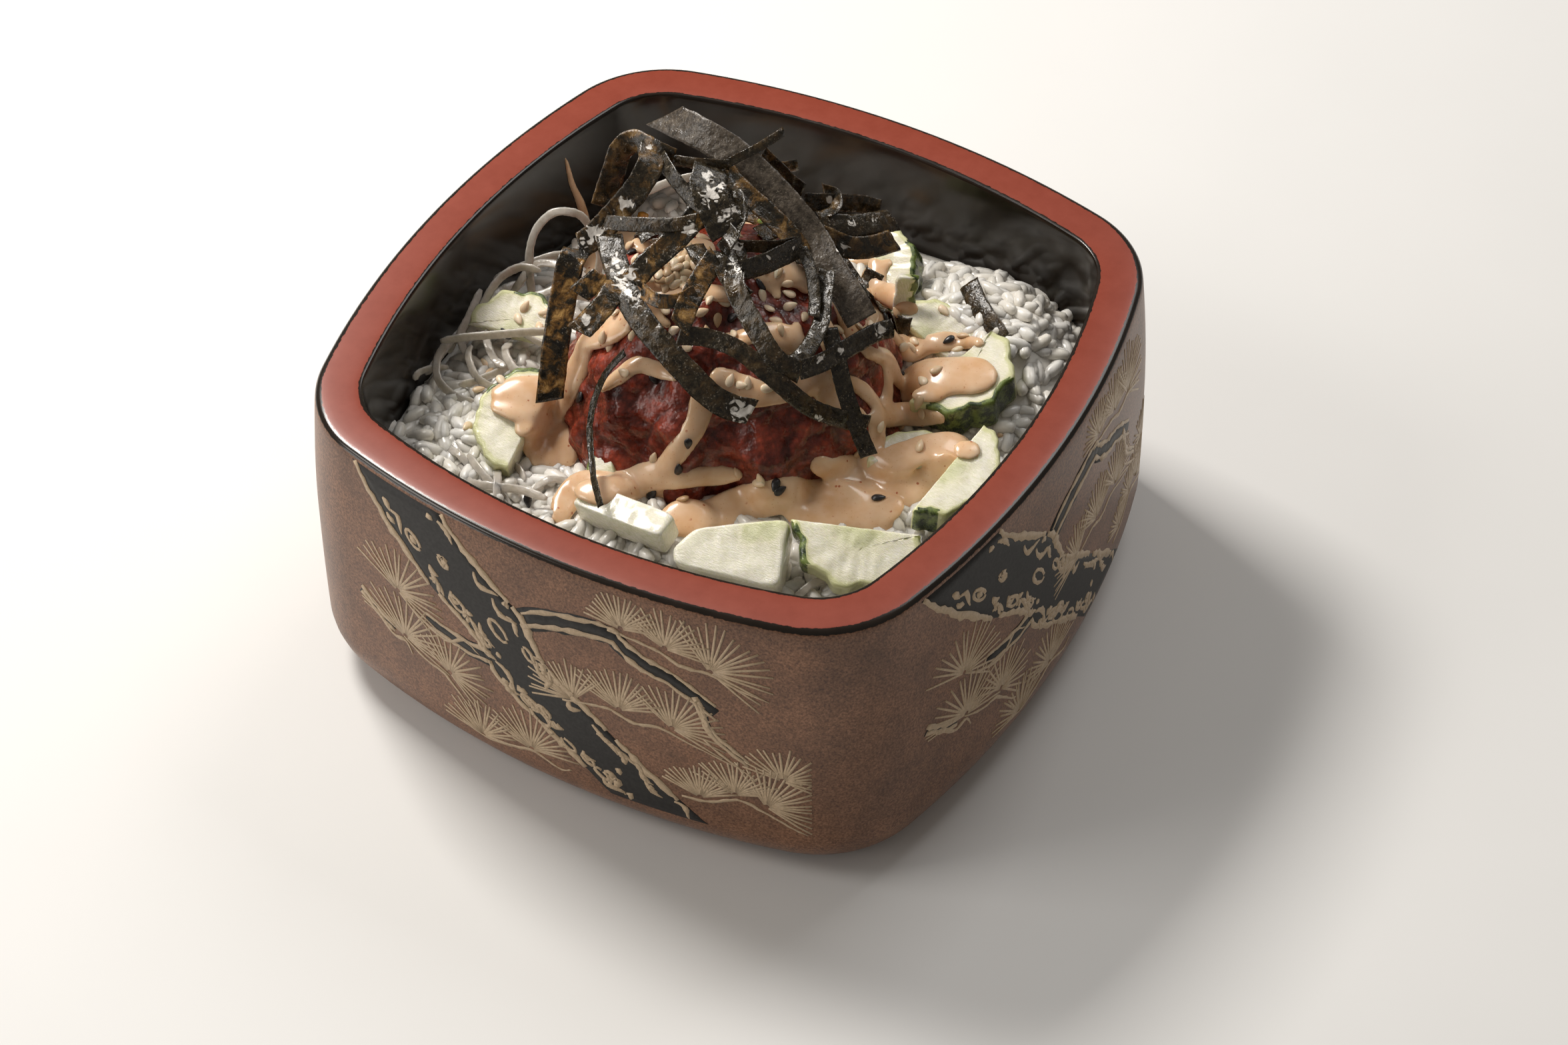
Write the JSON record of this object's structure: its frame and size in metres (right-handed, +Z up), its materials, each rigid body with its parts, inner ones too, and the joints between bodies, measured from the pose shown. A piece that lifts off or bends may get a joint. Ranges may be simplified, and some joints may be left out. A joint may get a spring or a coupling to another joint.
{
  "type": "spicy tuna rice bowl",
  "caption": "Bowed-sided square lacquered bowl filled with rice, topped with a mound of chopped spiced tuna, cucumber, shredded daikon, creamy sauce and nori shreds.",
  "frame": {"origin": "on the table, under the middle of the bowl", "axes": "+Z up; -Y towards the front left wall and +X towards the front right wall, so that the +X -Y corner is nearest to the viewer"},
  "size_m": [0.1548, 0.1548, 0.1053],
  "materials": {
    "lacquer": "copper-brown mottled lacquer outside with a pine drawn in black and gold-beige, glossy vermilion rim, glossy black edges and inside",
    "rice": "steamed short-grain rice, translucent greyish white, moist",
    "tuna": "deep red chopped raw tuna, wet, with peach-beige creamy sauce and sesame",
    "cucumber": "pale green moist flesh, dark green peel, peach-beige creamy sauce",
    "daikon": "translucent greyish-white shreds, moist",
    "nori": "near-black green-brown dried seaweed, crinkled, with glossy patches",
    "sauce": "peach-beige creamy sauce with fine red specks, glossy",
    "sesame": "toasted cream and black sesame seeds"
  },
  "bodies": {
    "root": {"bowl": "lacquer", "rice": "rice", "tuna": "tuna", "cucumber_front_chunk": "cucumber", "cucumber_front_wedge": "cucumber", "cucumber_front_slice": "cucumber", "cucumber_right_lower": "cucumber", "cucumber_right_middle": "cucumber", "cucumber_flat_middle": "cucumber", "cucumber_upper_right": "cucumber", "cucumber_under_right": "cucumber", "cucumber_left_slice": "cucumber", "cucumber_left_chunk": "cucumber", "cucumber_under_front": "cucumber", "cucumber_sliver": "cucumber", "daikon_left": "daikon", "daikon_front": "daikon", "daikon_corner": "daikon", "nori_shreds": "nori", "nori_scrap": "nori"}
  },
  "joints": []
}
